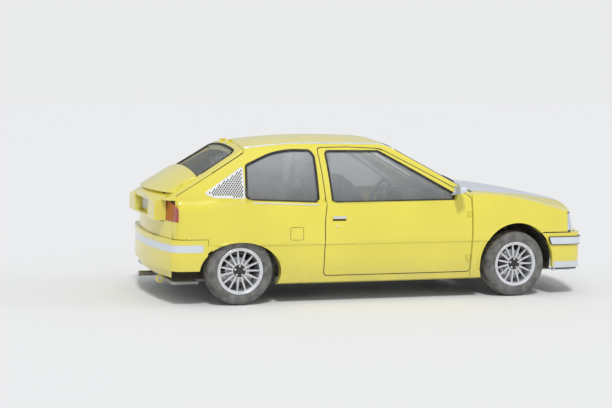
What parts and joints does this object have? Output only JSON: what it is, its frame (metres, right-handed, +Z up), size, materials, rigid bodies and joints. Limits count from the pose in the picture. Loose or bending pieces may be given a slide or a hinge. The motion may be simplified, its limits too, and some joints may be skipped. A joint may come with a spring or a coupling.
{
  "type": "rally car",
  "caption": "Three-door rally hatchback with hollow cabin, roll cage, opening doors, bonnet and hatch, steered front wheels and free-rolling wheels.",
  "frame": {"origin": "on the ground under the middle of the car", "axes": "+X to the front, +Y to the left, +Z up"},
  "size_m": [3.999, 1.894, 1.3955],
  "materials": {
    "black_trim": "matte",
    "body_paint": "gloss",
    "cabin_plastic": "matte",
    "cage_paint": "satin",
    "chassis_paint": "matte",
    "exhaust_metal": "satin",
    "glass": "gloss",
    "lamp_clear": "gloss",
    "lamp_red": "gloss",
    "seat_cloth": "matte",
    "steel": "matte",
    "tyre_rubber": "matte",
    "wheel_metal": "satin",
    "white_paint": "gloss"
  },
  "bodies": {
    "body_shell": {"bucket_seats": "seat_cloth", "bulkhead": "chassis_paint", "bumper_band": "white_paint", "cowl": "black_trim", "dashboard": "cabin_plastic", "engine_block": "steel", "exhaust": "exhaust_metal", "floor_pan": "chassis_paint", "front_bumper": "body_paint", "front_lip": "white_paint", "front_panel": "chassis_paint", "front_subframe": "steel", "front_wing_left": "body_paint", "front_wing_right": "body_paint", "fuel_tank": "chassis_paint", "grille": "black_trim", "head_lamps": "lamp_clear", "inner_wings": "chassis_paint", "quarter_glass": "glass", "rear_axle": "steel", "rear_bumper": "body_paint", "rear_panel": "body_paint", "rear_wheel_houses": "chassis_paint", "roll_cage": "cage_paint", "roof_panel": "body_paint", "side_panel_left": "body_paint", "side_panel_right": "body_paint", "steering_wheel": "cabin_plastic", "sump_guard": "chassis_paint", "tail_lamps": "lamp_red", "vent_panels": "white_paint", "windscreen": "glass"},
    "door_left": {"door_left": "body_paint", "door_glass_left": "glass", "door_mirror_left": "body_paint"},
    "door_right": {"door_right": "body_paint", "door_glass_right": "glass", "door_mirror_right": "body_paint"},
    "bonnet": {"bonnet": "body_paint"},
    "hatch": {"hatch": "body_paint", "hatch_glass": "glass"},
    "upright_left": {"upright_left": "steel"},
    "upright_right": {"upright_right": "steel"},
    "wheel_front_left": {"tyre_front_left": "tyre_rubber", "rim_front_left": "wheel_metal"},
    "wheel_front_right": {"tyre_front_right": "tyre_rubber", "rim_front_right": "wheel_metal"},
    "wheel_rear_left": {"tyre_rear_left": "tyre_rubber", "rim_rear_left": "wheel_metal"},
    "wheel_rear_right": {"tyre_rear_right": "tyre_rubber", "rim_rear_right": "wheel_metal"}
  },
  "joints": [
    {"name": "door_left_hinge", "type": "hinge", "parent": "body_shell", "child": "door_left", "pos_m": [0.729, 0.812, 0.55], "axis": [0, 0, -1], "range_deg": [0, 66]},
    {"name": "door_right_hinge", "type": "hinge", "parent": "body_shell", "child": "door_right", "pos_m": [0.729, -0.812, 0.55], "axis": [0, 0, 1], "range_deg": [0, 66]},
    {"name": "bonnet_hinge", "type": "hinge", "parent": "body_shell", "child": "bonnet", "pos_m": [0.824, 0, 0.903], "axis": [0, -1, 0], "range_deg": [0, 50]},
    {"name": "hatch_hinge", "type": "hinge", "parent": "body_shell", "child": "hatch", "pos_m": [-1.24, 0, 1.345], "axis": [0, 1, 0], "range_deg": [0, 72]},
    {"name": "steer_left", "type": "hinge", "parent": "body_shell", "child": "upright_left", "pos_m": [1.199, 0.65, 0.195], "axis": [0, -0.171, 0.9853], "range_deg": [-35, 35]},
    {"name": "steer_right", "type": "hinge", "parent": "body_shell", "child": "upright_right", "pos_m": [1.199, -0.65, 0.195], "axis": [0, 0.171, 0.9853], "range_deg": [-35, 35]},
    {"name": "spin_front_left", "type": "hinge", "parent": "upright_left", "child": "wheel_front_left", "pos_m": [1.199, 0.7, 0.289], "axis": [0, 1, 0], "continuous": true},
    {"name": "spin_front_right", "type": "hinge", "parent": "upright_right", "child": "wheel_front_right", "pos_m": [1.199, -0.7, 0.289], "axis": [0, 1, 0], "continuous": true},
    {"name": "spin_rear_left", "type": "hinge", "parent": "body_shell", "child": "wheel_rear_left", "pos_m": [-1.321, 0.703, 0.289], "axis": [0, 1, 0], "continuous": true},
    {"name": "spin_rear_right", "type": "hinge", "parent": "body_shell", "child": "wheel_rear_right", "pos_m": [-1.321, -0.703, 0.289], "axis": [0, 1, 0], "continuous": true}
  ],
  "couplings": [
    {"joint": "steer_right", "follows": "steer_left", "ratio": 1}
  ]
}
